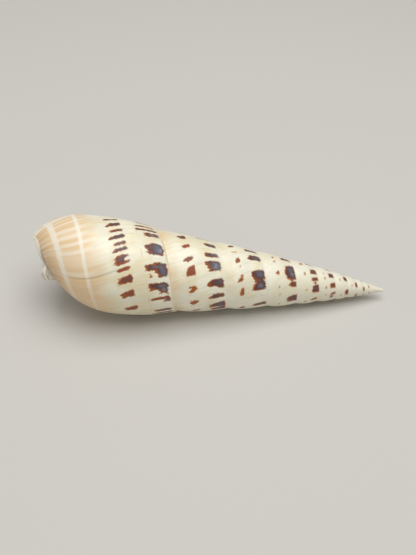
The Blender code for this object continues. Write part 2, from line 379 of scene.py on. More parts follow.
class Shell:
    """Builds the shell's one closed mesh, and keeps a Spot for each corner of its faces."""

    def __init__(self):
        self.index = {}
        self.places = []
        self.faces = []
        self.corners = []

    def add(self, point):
        self.places.append(point)
        return len(self.places) - 1

    def point(self, layer, column, row):
        """Turn, reach and radius of a grid point."""
        turn = column_turn(column, row)
        if layer == "outer":
            reach, radius = outer_point(turn, row)
            if row <= RIDGE_START_ROW:
                radius += relief(turn, share_at(turn, reach))
        elif layer == "inner":
            reach, radius = inner_point(turn, row, lip_thickness(column))
        else:
            turn = column_turn(column)
            reach, radius = parietal_point(turn, row)
        return turn, reach, radius

    def vertex(self, layer, column, row):
        """The number of a grid point's vertex; points that two whorls or two layers share have one."""
        if layer == "outer" and row == BAND_ROWS and column <= 0:
            column, row = column + COLUMNS, 0
        if layer == "parietal" and column == 0:
            layer = "outer"
            if row == BAND_ROWS:
                column, row = COLUMNS, 0
        key = (layer, column, row)
        if key not in self.index:
            self.index[key] = self.add(place(*self.point(layer, column, row)))
        return self.index[key]

    def spot(self, layer, column, row):
        """The corner's own spot, which a corner on a suture doesn't share with its neighbour."""
        turn = column_turn(column, row)
        if layer != "outer":
            return Spot(turn, inside=1.0)
        reach = outer_point(turn, row)[0]
        past = (row - RIDGE_START_ROW) / RIDGE_ROWS
        edge = mix(smooth(past / RIDGE_FADE), smooth((past - FREE_BAND) / RIDGE_FADE), free_share(turn))
        edge = max(edge, smooth(1.0 - (COLUMNS - column) / mix(*LIP_BAND, row / ROWS)))
        # How much painted shade the groove gets: most along the groove, fading over the ridge's rows
        middle = FREE_BAND * free_share(turn)
        shade = smooth(1.0 - abs(past - middle) / GROOVE_SHADE)
        groove = shade * ridge_share(turn) * smooth((GROOVE_END - turn) / OPEN_SPAN)
        return Spot(turn, share_at(turn, reach), edge, groove, 0.0, max(past, 0.0))

    def face(self, vertices, spots):
        """A face through the vertices, each counted once."""
        kept = [k for k, v in enumerate(vertices) if v not in vertices[:k]]
        if len(kept) > 2:
            self.faces.append([vertices[k] for k in kept])
            self.corners.extend(spots[k] for k in kept)

    def sheet(self, layer, columns, rows):
        for column in columns:
            for row in rows:
                grid = ((column, row), (column + 1, row), (column + 1, row + 1), (column, row + 1))
                self.face([self.vertex(layer, *at) for at in grid], [self.spot(layer, *at) for at in grid])

    def strip(self, first, second, spot):
        """Faces between two lists of vertices that run side by side."""
        for k in range(len(first) - 1):
            self.face([first[k], first[k + 1], second[k + 1], second[k]], [spot] * 4)

    def cap(self, ring, centre, spot):
        """Closes a ring towards a centre, in rings that follow a quarter of an ellipse."""
        around = [self.places[v] for v in ring]
        middle = sum(around, Vector()) / len(around)
        loop = ring + ring[:1]
        for k in range(1, FAN_RINGS):
            angle = k / FAN_RINGS * TURN / 4
            inner = [
                self.add(middle.lerp(p, math.cos(angle)) + (centre - middle) * math.sin(angle))
                for p in around
            ]
            inner += inner[:1]
            self.strip(loop, inner, spot)
            loop = inner
        tip = self.add(centre)
        for a, b in zip(loop, loop[1:]):
            self.face([a, b, tip], [spot] * 3)


def build_shell():
    """The outside from the tip to the front end, the hollow, and the edges that join the two."""
    shell = Shell()
    shell.sheet("outer", range(START_COLUMN, COLUMNS), range(BAND_ROWS))
    shell.sheet("outer", range(COLUMNS), range(BAND_ROWS, ROWS))
    shell.sheet("inner", range(DEEP_COLUMN, COLUMNS), range(ROWS))
    shell.sheet("parietal", range(DEEP_COLUMN - COLUMNS, 0), range(BAND_ROWS, ROWS))
    close_tip(shell)
    close_front(shell, close_rim(shell))
    close_hollow(shell)
    return shell


def close_tip(shell):
    """The worn tip: the first whorl's edge, closed over."""
    ring = [shell.vertex("outer", START_COLUMN + k, 0) for k in range(COLUMNS)]
    ring += [shell.vertex("outer", START_COLUMN, row) for row in range(BAND_ROWS, 0, -1)]
    shell.cap(ring, place(0.0, TIP_REACH, 0.0), Spot(column_turn(START_COLUMN)))


def rim_points(shell, at, behind):
    """The rounded edge from the outer to the inner side at one grid point, bulging away from another."""
    outer, inner = (shell.vertex(layer, *at) for layer in ("outer", "inner"))
    first, last = shell.places[outer], shell.places[inner]
    back = sum((shell.places[shell.vertex(layer, *behind)] for layer in ("outer", "inner")), Vector()) / 2
    middle, half = (first + last) / 2, (first - last) / 2
    ahead = (middle - back).normalized() * half.length * RIM_BULGE
    points = [outer]
    for k in range(1, RIM_STEPS):
        angle = k / RIM_STEPS * TURN / 2
        points.append(shell.add(middle + half * math.cos(angle) + ahead * math.sin(angle)))
    return points + [inner]


def close_rim(shell):
    """The lip's edge, then the free edge of the canal back to its notch. Returns the rim's end there."""
    pairs = [((COLUMNS, row), (COLUMNS - 1, row)) for row in range(ROWS)]
    pairs.append(((COLUMNS, ROWS), (COLUMNS - 1, ROWS - 1)))
    pairs += [((column, ROWS), (column, ROWS - 1)) for column in range(COLUMNS - 1, NOTCH_COLUMN - 1, -1)]
    rims = [rim_points(shell, *pair) for pair in pairs]
    for first, second in zip(rims, rims[1:]):
        shell.strip(first, second, EDGE_SPOT)
    return rims[-1]


def close_front(shell, rim_end):
    """The end of the columella, and the corner where it meets the notch."""
    back = NOTCH_COLUMN - COLUMNS
    ring = [shell.vertex("outer", column, ROWS) for column in range(NOTCH_COLUMN + 1)]
    ring += [shell.vertex("parietal", column, ROWS) for column in range(back, 0)]
    shell.cap(ring, place(0.0, NUB_REACH - NUB_DIMPLE, 0.0), EDGE_SPOT)
    corner = rim_end + [shell.vertex("parietal", back, ROWS)]
    shell.face(corner, [EDGE_SPOT] * len(corner))


def close_hollow(shell):
    """The seams where the outer wall meets the whorl before and the columella, and the deep end."""
    for inner_row, parietal_row, last in ((0, BAND_ROWS, COLUMNS), (ROWS, ROWS, NOTCH_COLUMN)):
        columns = range(DEEP_COLUMN, last + 1)
        shell.strip(
            [shell.vertex("inner", column, inner_row) for column in columns],
            [shell.vertex("parietal", column - COLUMNS, parietal_row) for column in columns],
            INSIDE_SPOT,
        )
    end = [shell.vertex("inner", DEEP_COLUMN, row) for row in range(ROWS + 1)]
    back = DEEP_COLUMN - COLUMNS
    end += [shell.vertex("parietal", back, row) for row in range(ROWS, BAND_ROWS - 1, -1)]
    shell.face(end, [INSIDE_SPOT] * len(end))


# Blotches of each whorl's two rows, from the last whorl up. A row has its middle and its half length, as
# shares of the whorl's height. Each blotch is the turn of its middle and its width, in degrees, then how grey
# its heart is, how strong it is, its own middle and half length where they differ from the row's, and how
# much it narrows towards the front. Blotches that touch read as one shape.
MIDDLE_ROWS = (
    (0.575, 0.095, (
        (69, 4, 0.3, 0.8), (57, 6, 0.6), (46, 3.5, 0.3, 0.8), (37, 5, 0.5), (28, 3.5, 0.4, 0.8),
        (21, 4, 0.4, 0.9), (12.5, 3.5, 0.3), (9.5, 8, 0.3, 1, 0.61, 0.07), (6, 3, 0.1), (-1, 3.5, 0.1),
        (-13, 8, 0.2), (-31, 8, 0), (-55, 7, 0),
    )),
    (0.6, 0.08, (
        (62, 8, 0.3), (42, 5, 0, 0.8), (21, 6, 0.3, 0.75), (4, 12, 0.1, 0.85, None, None, 0.2),
        (-22, 9, 0, 0.6, None, 0.065, -0.4), (-46, 8, 0, 0.65, None, 0.07, -0.4),
        (-71, 5, 0.1),
    )),
    (0.64, 0.07, (
        (67, 6, 0.3), (49, 4, 0.1, 0.3), (31, 8, 0.1), (21, 4, 0, 0.3, 0.6, 0.03),
        (4, 5, 0, 0.75, 0.59, 0.03), (-3, 5, 0.1, 0.75), (-25, 13, 0, 0.65, 0.63, 0.05), (-69, 8, 0.1),
    )),
    (0.6, 0.025, (
        (59, 5, 0, 0.7), (46, 4, 0, 0.8), (18, 8, 0, 0.9, 0.6, 0.045), (-12, 3, 0, 0.6), (-30, 2, 0, 0.4),
        (-62, 5, 0, 0.8),
    )),
    (0.6, 0.035, ((61, 8, 0, 0.4, 0.6, 0.1), (27, 7, 0), (-17, 2, 0, 0.4), (-60, 5, 0, 0.5))),
    (0.62, 0.03, ((42, 3, 0, 0.5), (24, 5, 0, 0.6), (-8, 7, 0, 0.9), (-35, 2, 0, 0.4))),
    (0.62, 0.03, ((30, 6, 0, 0.6), (-40, 5, 0, 0.5))),
    (0.62, 0.03, ((10, 6, 0, 0.5),)),
)
SUTURE_ROWS = (
    (0.155, 0.135, (
        (78, 4, 0.5, 0.8), (66, 3, 0.3, 0.9), (58, 4, 0.6, 0.9), (49, 7, 1, 0.8, 0.12, 0.11),
        (28, 16, 1, 1, 0.11, 0.095, 0), (29.5, 4.5, 0.3, 1, 0.18, 0.09), (22, 4, 0.3, 1, 0.175, 0.085),
        (4.5, 7, 0.8, 1, 0.165, 0.13, 0), (2, 18, 1, 1, 0.085, 0.075, 0), (-7, 4, 0, 0.9, 0.245, 0.035),
        (-19, 9, 0.4, 1, 0.155, 0.135, 0), (-23, 12, 0.9, 1, 0.1, 0.06, 0), (-30, 2.5, 0, 0.8, 0.04, 0.02),
        (-37, 4, 0.1, 0.9, 0.17, 0.14, 0.5), (-40, 6, 0.7, 1, 0.07, 0.06),
        (-62, 6, 0.5, 1), (-72, 5, 0.4, 0.9), (-80, 5, 0.3, 0.8),
    )),
    (0.17, 0.13, (
        (83, 4, 0.6), (76, 3, 0.4), (57, 9, 0.6, 0.9, 0.12, 0.1), (34, 8, 1, 0.9),
        (16, 16, 1, 1, None, None, 0), (-10, 11, 0.3, 1, None, None, 0), (-10.5, 15, 0.6, 1, 0.11, 0.07, 0.2),
        (-33, 8, 0.3, 1, None, None, 0), (-55, 13, 0.5, 1, None, None, 0.3), (-69, 11, 0.4),
    )),
    (0.18, 0.155, (
        (68, 10, 0.8), (45, 12, 0.9, 0.9), (10, 18, 0.8), (-1.5, 12, 0.5, 1, 0.18, 0.12, 0), (-12, 16, 0.7),
        (-58, 10, 0.3),
    )),
    (0.17, 0.16, (
        (66, 11, 0.7), (25, 34, 0.6), (6, 12, 0, 1, 0.17, 0.05), (-4, 12, 0.2, 1, 0.14, 0.12), (-44, 20, 0.3),
    )),
    (0.18, 0.15, (
        (76, 10, 0.3), (40, 15, 0.4, 0.8), (16, 10, 0.2), (4, 16, 0.1, 1, 0.18, 0.04), (-13, 22, 0.3),
        (-51, 8, 0.1, 1, 0.24, 0.14), (-76, 8, 0.2),
    )),
    (0.2, 0.16, ((76, 12, 0.3), (41, 18, 0.3), (2, 17, 0.2), (-30, 8, 0.1), (-45, 10, 0.1, 1, 0.27, 0.1))),
    (0.14, 0.14, ((80, 14, 0.2), (42, 24, 0.3), (-26, 26, 0.2), (-75, 10, 0.1))),
    (0.13, 0.13, ((80, 14, 0.1), (19, 28, 0.2), (-56, 18, 0.1))),
    (0.13, 0.13, ((75, 14, 0.1, 0.8), (-4, 30, 0.1, 0.9), (-62, 8, 0, 0.8))),
    (0.13, 0.12, ((24, 18, 0, 0.6), (-50, 12, 0, 0.5))),
)
# Blotches where the photograph doesn't show the shell: angles in degrees, and the limits of the random draws
SEEN_TURN = 90  # the photograph shows this much to either side of turn 0
SEEN_MARGIN = 4
LIP_MARGIN = 20
LONG_ROW = 0.05  # rows with a longer half length than this have the wider blotches
LONG_ROW_WIDTHS, SHORT_ROW_WIDTHS = (5, 13), (3, 6)
UNSEEN_GAPS = 7, 20
UNSEEN_GREYS, UNSEEN_STRENGTHS, UNSEEN_TAPERS = (0.0, 0.8), (0.7, 1.0), (-0.2, 0.5)
UNSEEN_LENGTHS = 0.75, 1.0  # shares of the row's half length
BLOTCH_SEED = 11


class Blotch:
    """One blotch, in the spiral's own measures: turns, and shares of the whorl's height."""

    def __init__(self, whorl, row, turn, wide, grey=0.0, strength=1.0, middle=None, half=None, taper=0.15):
        self.share = row[0] if middle is None else middle
        self.half = row[1] if half is None else half
        self.turn = math.radians(turn) - whorl * TURN
        self.wide = math.radians(wide)
        self.grey, self.strength, self.taper = grey, strength, taper

    def looks(self):
        """Its centre on the growth lines and on the whorl, its half width and half length, and the rest."""
        centre = growth_at(self.turn, self.share)
        return centre, self.share, self.wide / 2, self.half, self.grey, self.strength, self.taper


def unseen_blotches(whorl, row, draw, start, end):
    """A row's blotches from one turn to another, in degrees, by the same habits as the seen ones."""
    middle, half = row
    widths = LONG_ROW_WIDTHS if half > LONG_ROW else SHORT_ROW_WIDTHS
    turn = start
    while turn < end:
        wide = draw.uniform(*widths)
        turn += wide / 2
        looks = [draw.uniform(*limits) for limits in (UNSEEN_GREYS, UNSEEN_STRENGTHS, UNSEEN_TAPERS)]
        grey, strength, taper = looks
        length = half * draw.uniform(*UNSEEN_LENGTHS)
        yield Blotch(whorl, row, turn, wide, grey, strength, middle, length, taper)
        turn += wide / 2 + draw.uniform(*UNSEEN_GAPS)


def all_blotches():
    draw = random.Random(BLOTCH_SEED)
    hidden_start, hidden_end = SEEN_TURN + SEEN_MARGIN - 360, -SEEN_TURN - SEEN_MARGIN
    found = []
    for rows in (MIDDLE_ROWS, SUTURE_ROWS):
        for whorl, (middle, half, seen) in enumerate(rows):
            row = (middle, half)
            found += [Blotch(whorl, row, *one) for one in seen]
            found += unseen_blotches(whorl, row, draw, hidden_start, hidden_end)
            if whorl == 0:
                lip = math.degrees(LIP_TURN) + LIP_MARGIN
                found += unseen_blotches(whorl, row, draw, SEEN_TURN + SEEN_MARGIN, lip)
    return found


GIRTH = 0.63  # a whorl's radius over its height, nearly the same all the way up
LOOKS = 7  # how many numbers Blotch.looks gives
FAR_GROWTH = 99.0  # the growth line that stands for no blotch at all
FAR_DISTANCE = 9.0
SEARCH_TURN = 0.5  # how far from its sides, in radians, a blotch still counts as near


def nearest_two(growth, share, blotches):
    """For each face: the looks of its nearest blotch, and of the next nearest."""
    looks = np.zeros((2, len(growth), LOOKS))
    looks[:, :, 0] = FAR_GROWTH
    distances = np.full((2, len(growth)), FAR_DISTANCE)
    for blotch in blotches:
        centre, middle, wide, half = blotch.looks()[:4]
        near = np.nonzero(np.abs(growth - centre) < wide + SEARCH_TURN)[0]
        beside = (np.abs(growth[near] - centre) - wide) * GIRTH
        beyond = np.abs(share[near] - middle) - half
        distance = np.maximum(beside, beyond)
        first = distance < distances[0, near]
        closest = near[first]
        looks[1, closest], distances[1, closest] = looks[0, closest], distances[0, closest]
        looks[0, closest], distances[0, closest] = blotch.looks(), distance[first]
        second = ~first & (distance < distances[1, near])
        looks[1, near[second]], distances[1, near[second]] = blotch.looks(), distance[second]
    return looks.transpose(0, 2, 1)


def add_attribute(data, name, values):
    layer = data.attributes.new(name, "FLOAT_VECTOR", "CORNER")
    layer.data.foreach_set("vector", np.stack(values, 1).astype(np.float32).ravel())


BAND_DRIFT = 0.22  # shares of the whorl's height that the white bands wander towards the front in a turn
DRIFT_START, DRIFT_SPAN = 0.8, 0.2  # shares along the whorl between which the drift sets in


def add_attributes(data, built):
    """What the material reads at each corner: its place on the spiral, its tints and two nearest blotches."""
    turn, share, edge, groove, inside, ridge = np.array(built.corners).T
    growth = np.array([growth_at(*pair) for pair in zip(turn, share)])
    height = WHORL_RATIO ** (-turn / TURN)
    sizes = np.array([len(face) for face in built.faces])
    starts = np.cumsum(sizes) - sizes
    face_growth, face_share = (np.add.reduceat(values, starts) / sizes for values in (growth, share))
    nearest = np.repeat(nearest_two(face_growth, face_share, all_blotches()), sizes, axis=2)
    strengths = []
    for name, (centre, middle, wide, long, grey, strength, taper) in zip(("nearest", "beside"), nearest):
        across, along = (growth - centre) * GIRTH * height, (share - middle) * height
        add_attribute(data, name + "_place", (across, along, taper))
        add_attribute(data, name + "_size", (wide * GIRTH * height, long * height, grey))
        strengths.append(strength)
    drift = BAND_DRIFT * np.maximum(turn / TURN, 0.0) * np.clip((share - DRIFT_START) / DRIFT_SPAN, 0.0, 1.0)
    add_attribute(data, "spiral", (growth / TURN, share + drift, turn / TURN))
    add_attribute(data, "strengths", (*strengths, edge))
    add_attribute(data, "tint", (groove, inside, ridge))


def shell_to_part(cad):
    """The turn and the shift that lay the spiral down where the CAD model's shell lies."""
    lay = Matrix.Rotation(AXIS_DIP, 4, "Y") @ Matrix.Rotation(DOWN_TURN + TURN / 4, 4, "X")
    along = lay.to_3x3() @ Vector((1.0, 0.0, 0.0))
    tip = max((v.co for v in cad.data.vertices), key=along.dot)
    shift = tip - lay.to_3x3() @ place(0.0, TIP_REACH, 0.0)
    return Matrix.Translation(shift) @ lay


def add_object(name, data):
    made = bpy.data.objects.new(name, data)
    bpy.context.scene.collection.objects.link(made)
    return made


def turn_faces_outwards(data):
    mesh = bmesh.new()
    mesh.from_mesh(data)
    bmesh.ops.recalc_face_normals(mesh, faces=mesh.faces[:])
    mesh.to_mesh(data)
    mesh.free()


def make_shell(lay, material):
    """The shell as one mesh, laid down, and held inside the CAD model's box just above the ground."""
    built = build_shell()
    slim = Matrix.Diagonal((1.0, SLIMMING, SLIMMING, 1.0))
    points = np.array([lay @ (slim @ point) for point in built.places])
    low, high = np.array(CAD_BOX[0]) + (0.0, 0.0, REST_GAP), np.array(CAD_BOX[1])
    data = bpy.data.meshes.new("spotted_shell")
    data.from_pydata(np.clip(points, low, high), [], built.faces)
    add_attributes(data, built)
    turn_faces_outwards(data)
    data.shade_smooth()
    data.set_sharp_from_angle(angle=SHARP_ANGLE)
    data.materials.append(material)
    return add_object("spotted_shell", data)


class Nodes:
    """Short ways to write a material's nodes."""

    def __init__(self, name):
        self.material = bpy.data.materials.new(name)
        self.material.use_nodes = True
        self.tree = self.material.node_tree
        self.shader = self.tree.nodes["Principled BSDF"]

    def node(self, kind, **settings):
        made = self.tree.nodes.new("ShaderNode" + kind)
        for key, value in settings.items():
            setattr(made, key, value)
        return made

    def link(self, value, socket):
        if isinstance(value, bpy.types.NodeSocket):
            self.tree.links.new(value, socket)
        else:
            socket.default_value = value

    def math(self, operation, *values):
        made = self.node("Math", operation=operation)
        for value, socket in zip(values, made.inputs):
            self.link(value, socket)
        return made.outputs[0]

    def times(self, first, *others):
        for other in others:
            first = self.math("MULTIPLY", first, other)
        return first

    def plus(self, first, second):
        return self.math("ADD", first, second)

    def minus(self, first, second):
        return self.math("SUBTRACT", first, second)

    def scaled(self, value, factor, offset):
        """The value times the factor, plus the offset."""
        return self.math("MULTIPLY_ADD", value, factor, offset)

    def between(self, share, first, second):
        return self.scaled(share, self.minus(second, first), first)

    def ramp(self, value, low, high, first=0.0, last=1.0):
        """A smooth step: first where value is under low, last where it is over high."""
        made = self.node("MapRange", interpolation_type="SMOOTHSTEP")
        for item, socket in zip((value, low, high, first, last), made.inputs):
            self.link(item, socket)
        return made.outputs[0]

    def near(self, value, centre, half, blur=0.5):
        """1 where the value is near the centre, 0 beyond half a width, with a blurred edge between."""
        offset = self.math("ABSOLUTE", self.minus(value, centre))
        return self.ramp(offset, half * (1.0 - blur), half * (1.0 + blur), 1.0, 0.0)

    def window(self, value, rise, fall):
        """1 between a smooth step up and a smooth step down, each given by where it starts and ends."""
        return self.times(self.ramp(value, *rise), self.ramp(value, *fall, 1.0, 0.0))

    def mix(self, share, first, second):
        """A colour between two others."""
        made = self.node("Mix", data_type="RGBA", clamp_factor=True)
        for value, socket in ((share, made.inputs[0]), (first, made.inputs[6]), (second, made.inputs[7])):
            self.link(value, socket)
        return made.outputs[2]

    def noise(self, vector, scale, detail, roughness=0.5):
        made = self.node("TexNoise")
        settings = {"Vector": vector, "Scale": scale, "Detail": detail, "Roughness": roughness}
        for name, value in settings.items():
            self.link(value, made.inputs[name])
        return made.outputs["Fac"]

    def plane_noise(self, first, second, detail, roughness=0.5):
        """Noise in a plane, at the place that two numbers give."""
        at = self.node("CombineXYZ")
        self.link(first, at.inputs[0])
        self.link(second, at.inputs[1])
        return self.noise(at.outputs[0], 1.0, detail, roughness)

    def attribute(self, name):
        """The three parts of one of the mesh's attributes."""
        whole = self.node("Attribute", attribute_type="GEOMETRY", attribute_name=name)
        made = self.node("SeparateXYZ")
        self.link(whole.outputs["Vector"], made.inputs[0])
        return made.outputs[:3]


class ShellNodes(Nodes):
    """Nodes with the shell's own measures at hand: growth and turn in whole turns, share along the whorl."""

    def __init__(self, name):
        super().__init__(name)
        self.position = self.node("TexCoord").outputs["Object"]
        self.growth, self.share, self.turn = self.attribute("spiral")
        self.height = self.math("POWER", WHORL_RATIO, self.times(self.turn, -1.0))

    def pattern(self, around, along, detail=2.0, roughness=0.5):
        """Noise with this many waves round a turn, following the growth lines, and along a whorl's height."""
        first, second = self.times(self.growth, around), self.times(self.share, along)
        return self.plane_noise(first, second, detail, roughness)


def srgb(red, green, blue):
    """A colour as seen on screen, 0 to 255, turned into Blender's linear values."""
    shares = [value / 255 for value in (red, green, blue)]
    return tuple(s / 12.92 if s <= 0.04045 else ((s + 0.055) / 1.055) ** 2.4 for s in shares) + (1.0,)


CREAM = srgb(238, 226, 190)
BONE = srgb(238, 234, 214)
PALE = srgb(250, 245, 222)
STRAW = srgb(230, 208, 156)
HONEY = srgb(224, 184, 122)
PEACH = srgb(236, 204, 158)
TAN = srgb(214, 176, 130)
WHITE = srgb(250, 243, 226)
RUST = srgb(172, 92, 30)
AMBER = srgb(206, 140, 66)
UMBER = srgb(146, 76, 52)
PLUM = srgb(90, 58, 58)
SLATE = srgb(104, 106, 120)
MIST = srgb(146, 150, 156)
GLAZE = srgb(238, 214, 180)
CHALK = srgb(206, 197, 178)
# Dark brown: the painted shade in the groove round the columella, and the darkest lines on the ridge
DARK_BROWN = srgb(84, 64, 44)
CRACK = srgb(120, 108, 92)

# Noise on the spiral: its waves round a turn and along a whorl's height, then its detail and roughness
STRAW_STREAKS = 50.0, 1.4, 3.0, 0.6
COOL_STREAKS = 36.0, 3.2, 3.0, 0.6
GROWTH_LINES = 190.0, 1.5
HONEY_PATCHES = 11.0, 1.2
THREAD_GAPS = 24.0, 0.2
FRONT_WANDER = 30.0, 3.0
FRONT_STREAKS = 70.0, 0.9, 3.0, 0.6
BAND_WOBBLE = 50.0, 2.0
BLOTCH_COMB = 85.0, 1.8, 0.5
BLOTCH_LUMPS = 28.0, 17.0, 1.0
BLOTCH_PATCHES = 40.0, 9.0, 1.0
MIST_PATCHES = 22.0, 6.0
SHINE_STREAKS = 60.0, 3.0, 3.0
LINE_BUMPS = 420.0, 2.0, 3.0, 0.6
THREAD_BUMPS = 3.0, 160.0, 1.0
RIDGE_WAVES = 5.0, 13.0, 2.0  # round a turn and along the ridge, then the detail

# Noise in space: its waves in a metre, and its detail
CLOUDS = 90.0, 3.0
GLAZE_CLOUDS = 160.0, 3.0
# Clouds that make the groove's painted shade patchy
GROOVE_SHADE_CLOUDS = 400.0, 2.0
GRAIN = 2500.0, 2.0

# The surface: its bumps in metres and in shares of that, and how it shines
BUMP_HEIGHT = 0.00005
THREAD_HEIGHT, GRAIN_HEIGHT = 0.25, 0.12
ROUGHNESS = 0.3, 0.46
SPECULAR, COAT, COAT_ROUGHNESS = 0.4, 0.08, 0.2

# Where smooth steps in the colour start and end: in shares of a whorl's height, or in turns
SMALL_WHORLS = 0.12, 0.65  # heights, as shares of the last whorl's, from mostly bone to none
HONEY_SHARES, HONEY_TURNS = ((0.72, 0.98), (1.0, 1.02)), (-2.4, -0.8)
THREAD_TURNS = -0.4, -0.2
FRONT_SHARES, FRONT_TURNS = (0.78, 1.06), (-0.75, -0.55)
WANDER_SIZE = 0.16  # how far the start of the front's colour wanders
TAN_SHARES = 1.36, 1.56
BAND_TURNS, BAND_STRENGTHS = (-0.13, -0.02), (0.4, 0.8)
STREAK_SHARES, STREAK_STRENGTHS = (1.28, 1.4), (0.64, 0.26)
OLD_EDGE_SHARES, OLD_EDGE_STRENGTH = (0.95, 1.25), 0.85
CRACK_SHARES, CRACK_STRENGTH = ((0.5, 0.75), (1.2, 1.45)), 0.3
LIT_TOP_TURNS = (0.01, 0.09), (0.3, 0.4)  # the upper side of every whorl, where less rust stands in for the sheen of the light from above

# Lines across the whorl, as shares of its height
SEAM_WIDTH, SEAM_STRENGTH = 0.03, 0.6
THREAD_SHARE, THREAD_WIDTH = 0.31, 0.006  # the thin rust line along the front of the last suture row
WHITE_BANDS = ((1.06, 0.024), (1.352, 0.033))  # each band's middle and half its width
WOBBLE_SIZE = 0.024

# Lines along the growth, in degrees: their middle and half their width, then how strong they are
PALE_STREAKS = (
    (131, 2.5, 1), (122, 2, 1), (114, 1.5, 1), (106, 1.5, 1), (98, 1.2, 1), (89.5, 1.5, 1), (76, 3, 1),
    (65.8, 3.2, 1), (55, 2.2, 1), (44.6, 2.8, 1), (34, 9, 0.45), (17.5, 3.2, 0.75),
)
STREAK_BLUR, CRACK_BLUR = 0.75, 0.8
OLD_EDGE = 108.5, 3.5  # a pale line that an earlier lip left near the outline of the front end
OLD_CRACK = 13.3, 1.0

# The outline of a blotch, in shares of its whorl's height
TEETH_DEPTH, LUMP_DEPTH, SIDE_LUMPS = 0.13, 0.05, 0.04
TEETH_SHARES = 0.45, 1.3  # shares of the teeth's depth at its rear and at its front end
RUST_DEPTH, RUST_PATCHES = 0.038, 0.035  # the rust at its front end, and what patches add to it
RIM_DEPTH = 0.018  # the rust at its sides

# The same, in shares of the last whorl's height on every whorl
CORNER_ROUNDING = 0.05, 0.015  # the first of the two still shrinks with the whorl
JOIN = 0.008  # how widely two blotches that touch run into each other
HANDOVER = 0.02  # how far to either side of their meeting line the colours mix
FIRM_EDGE, SOFT_EDGE, FADE_EDGE = 0.006, 0.02, 0.014  # the blur inwards, more of it where soft, and outwards
RUST_LEAST = 0.012  # what both kinds of rust have at least
HEART_DEPTH = 0.045  # how far inside the outline the heart is at its greyest
TINY = 0.0001  # keeps the division whole where no blotch is near


def shell_material():
    n = ShellNodes("spotted_shell")
    nearest, beside, edge = n.attribute("strengths")
    groove, inside, ridge = n.attribute("tint")
    colour = front_colour(n, ground_colour(n))
    colour = blotch_colour(n, nearest, beside, colour)
    colour = edge_colour(n, edge, groove, ridge, colour)
    glaze = n.mix(n.noise(n.position, *GLAZE_CLOUDS), GLAZE, WHITE)
    n.link(n.mix(inside, colour, glaze), n.shader.inputs["Base Color"])
    n.link(n.ramp(n.pattern(*SHINE_STREAKS), 0.3, 0.7, *ROUGHNESS), n.shader.inputs["Roughness"])
    n.shader.inputs["Specular IOR Level"].default_value = SPECULAR
    n.shader.inputs["Coat Weight"].default_value = COAT
    n.shader.inputs["Coat Roughness"].default_value = COAT_ROUGHNESS
    n.link(bump(n), n.shader.inputs["Normal"])
    return n.material


def ground_colour(n):
    """Cream, bone towards the tip, with pale clouds, growth streaks and honey patches at the sutures."""
    ground = n.mix(n.ramp(n.noise(n.position, *CLOUDS), 0.35, 0.62), CREAM, PALE)
    ground = n.mix(n.ramp(n.pattern(*STRAW_STREAKS), 0.5, 0.78, 0.0, 0.5), ground, STRAW)
    ground = n.mix(n.ramp(n.pattern(*COOL_STREAKS), 0.44, 0.62, 0.0, 0.7), ground, BONE)
    ground = n.mix(n.ramp(n.pattern(*GROWTH_LINES), 0.56, 0.7, 0.0, 0.16), ground, CRACK)
    ground = n.mix(n.ramp(n.height, *SMALL_WHORLS, 0.75, 0.0), ground, BONE)
    seam = n.math("MAXIMUM", n.ramp(n.share, 0.0, SEAM_WIDTH, 1.0, 0.0), n.near(n.share, 1.0, SEAM_WIDTH))
    ground = n.mix(n.times(seam, SEAM_STRENGTH), ground, BONE)
    honey = n.times(n.window(n.share, *HONEY_SHARES), n.ramp(n.turn, *HONEY_TURNS))
    patches = n.ramp(n.pattern(*HONEY_PATCHES), 0.38, 0.62, 0.18, 0.6)
    ground = n.mix(n.times(honey, patches), ground, HONEY)
    thread = n.times(n.near(n.share, THREAD_SHARE, THREAD_WIDTH), n.ramp(n.turn, *THREAD_TURNS))
    broken = n.ramp(n.pattern(*THREAD_GAPS), 0.48, 0.6, 0.0, 0.4)
    return n.mix(n.times(thread, broken), ground, AMBER)


def front_colour(n, ground):
    """Peach over the front end, in growth streaks, crossed by two white spiral bands and an old crack."""
    wander = n.scaled(n.pattern(*FRONT_WANDER), WANDER_SIZE, -WANDER_SIZE / 2)
    amount = n.times(n.ramp(n.plus(n.share, wander), *FRONT_SHARES), n.ramp(n.turn, *FRONT_TURNS))
    peach = n.mix(n.ramp(n.share, *TAN_SHARES), PEACH, TAN)
    degrees = n.times(n.growth, 360.0)
    colour = n.mix(amount, ground, n.mix(pale_streaks(n, degrees), peach, WHITE))

    wobbly_share = n.scaled(n.pattern(*BAND_WOBBLE), WOBBLE_SIZE, n.share)
    strength = n.ramp(n.turn, *BAND_TURNS, *BAND_STRENGTHS)
    for middle, half in WHITE_BANDS:
        band = n.near(wobbly_share, middle + WOBBLE_SIZE / 2, half)
        colour = n.mix(n.times(band, strength), colour, WHITE)

    length = n.ramp(n.share, *OLD_EDGE_SHARES, 0.0, OLD_EDGE_STRENGTH)
    colour = n.mix(n.times(n.near(degrees, *OLD_EDGE), length), colour, WHITE)
    crack = n.times(n.near(degrees, *OLD_CRACK, CRACK_BLUR), n.window(n.share, *CRACK_SHARES))
    return n.mix(n.times(crack, CRACK_STRENGTH), colour, CRACK)


def pale_streaks(n, degrees):
    """How pale the growth streaks of the front end are: many fine ones, and the broad ones that stand out."""
    streaks = n.ramp(n.pattern(*FRONT_STREAKS), 0.46, 0.7, 0.0, 0.5)
    clear = n.ramp(n.share, *STREAK_SHARES, *STREAK_STRENGTHS)
    for centre, half, strength in PALE_STREAKS:
        streak = n.near(degrees, centre, half, STREAK_BLUR)
        streaks = n.math("MAXIMUM", streaks, n.times(streak, strength, clear))
    return streaks


